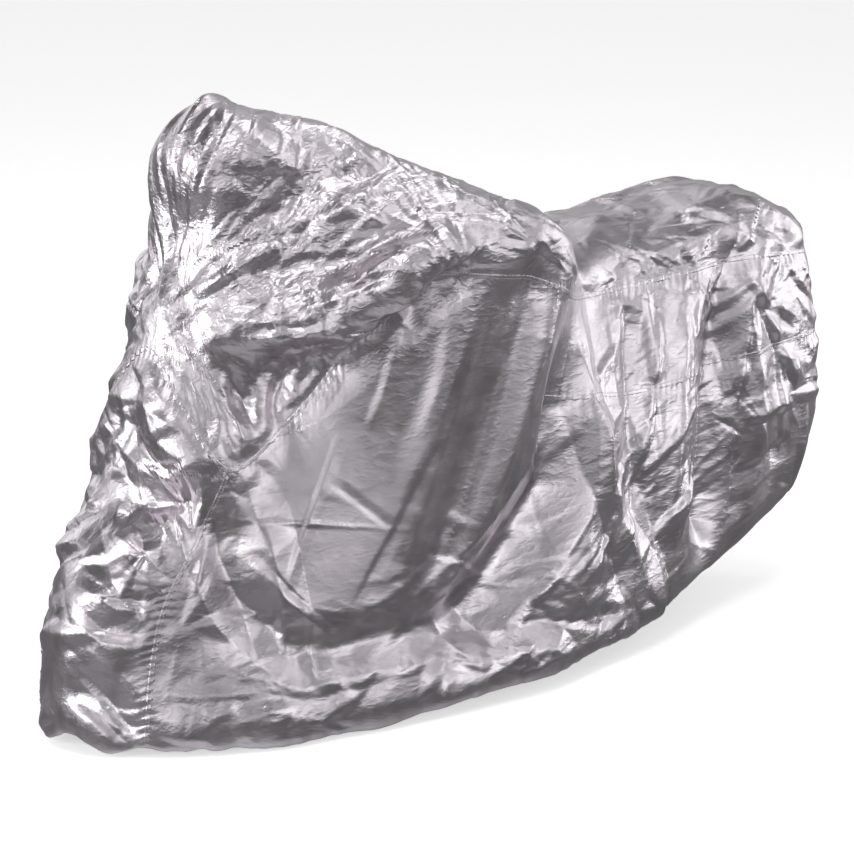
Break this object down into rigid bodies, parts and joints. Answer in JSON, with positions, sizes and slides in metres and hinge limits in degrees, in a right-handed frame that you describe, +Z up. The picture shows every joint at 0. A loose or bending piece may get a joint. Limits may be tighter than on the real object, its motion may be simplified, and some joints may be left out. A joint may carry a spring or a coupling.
{
  "type": "motorcycle cover",
  "caption": "Fitted motorcycle cover of thin silver coated cloth, sewn from shaped panels with a drawn-in elastic hem, hollow and open below, shown as it hangs over a machine.",
  "frame": {"origin": "the point under the middle of the top panel where the machine carries the cover", "axes": "+X along the machine to its tail, +Y to the machine's right side, +Z up; the front of the cover points to -X"},
  "size_m": [2.1163, 0.774, 1.1931],
  "materials": {
    "silver_cloth": "thin woven polyester with a shiny aluminium coating, crinkled from being packed"
  },
  "bodies": {
    "root": {"top_panel": "silver_cloth", "front_panel": "silver_cloth", "left_seat_panel": "silver_cloth", "right_seat_panel": "silver_cloth", "left_side_panel": "silver_cloth", "right_side_panel": "silver_cloth"}
  },
  "joints": []
}
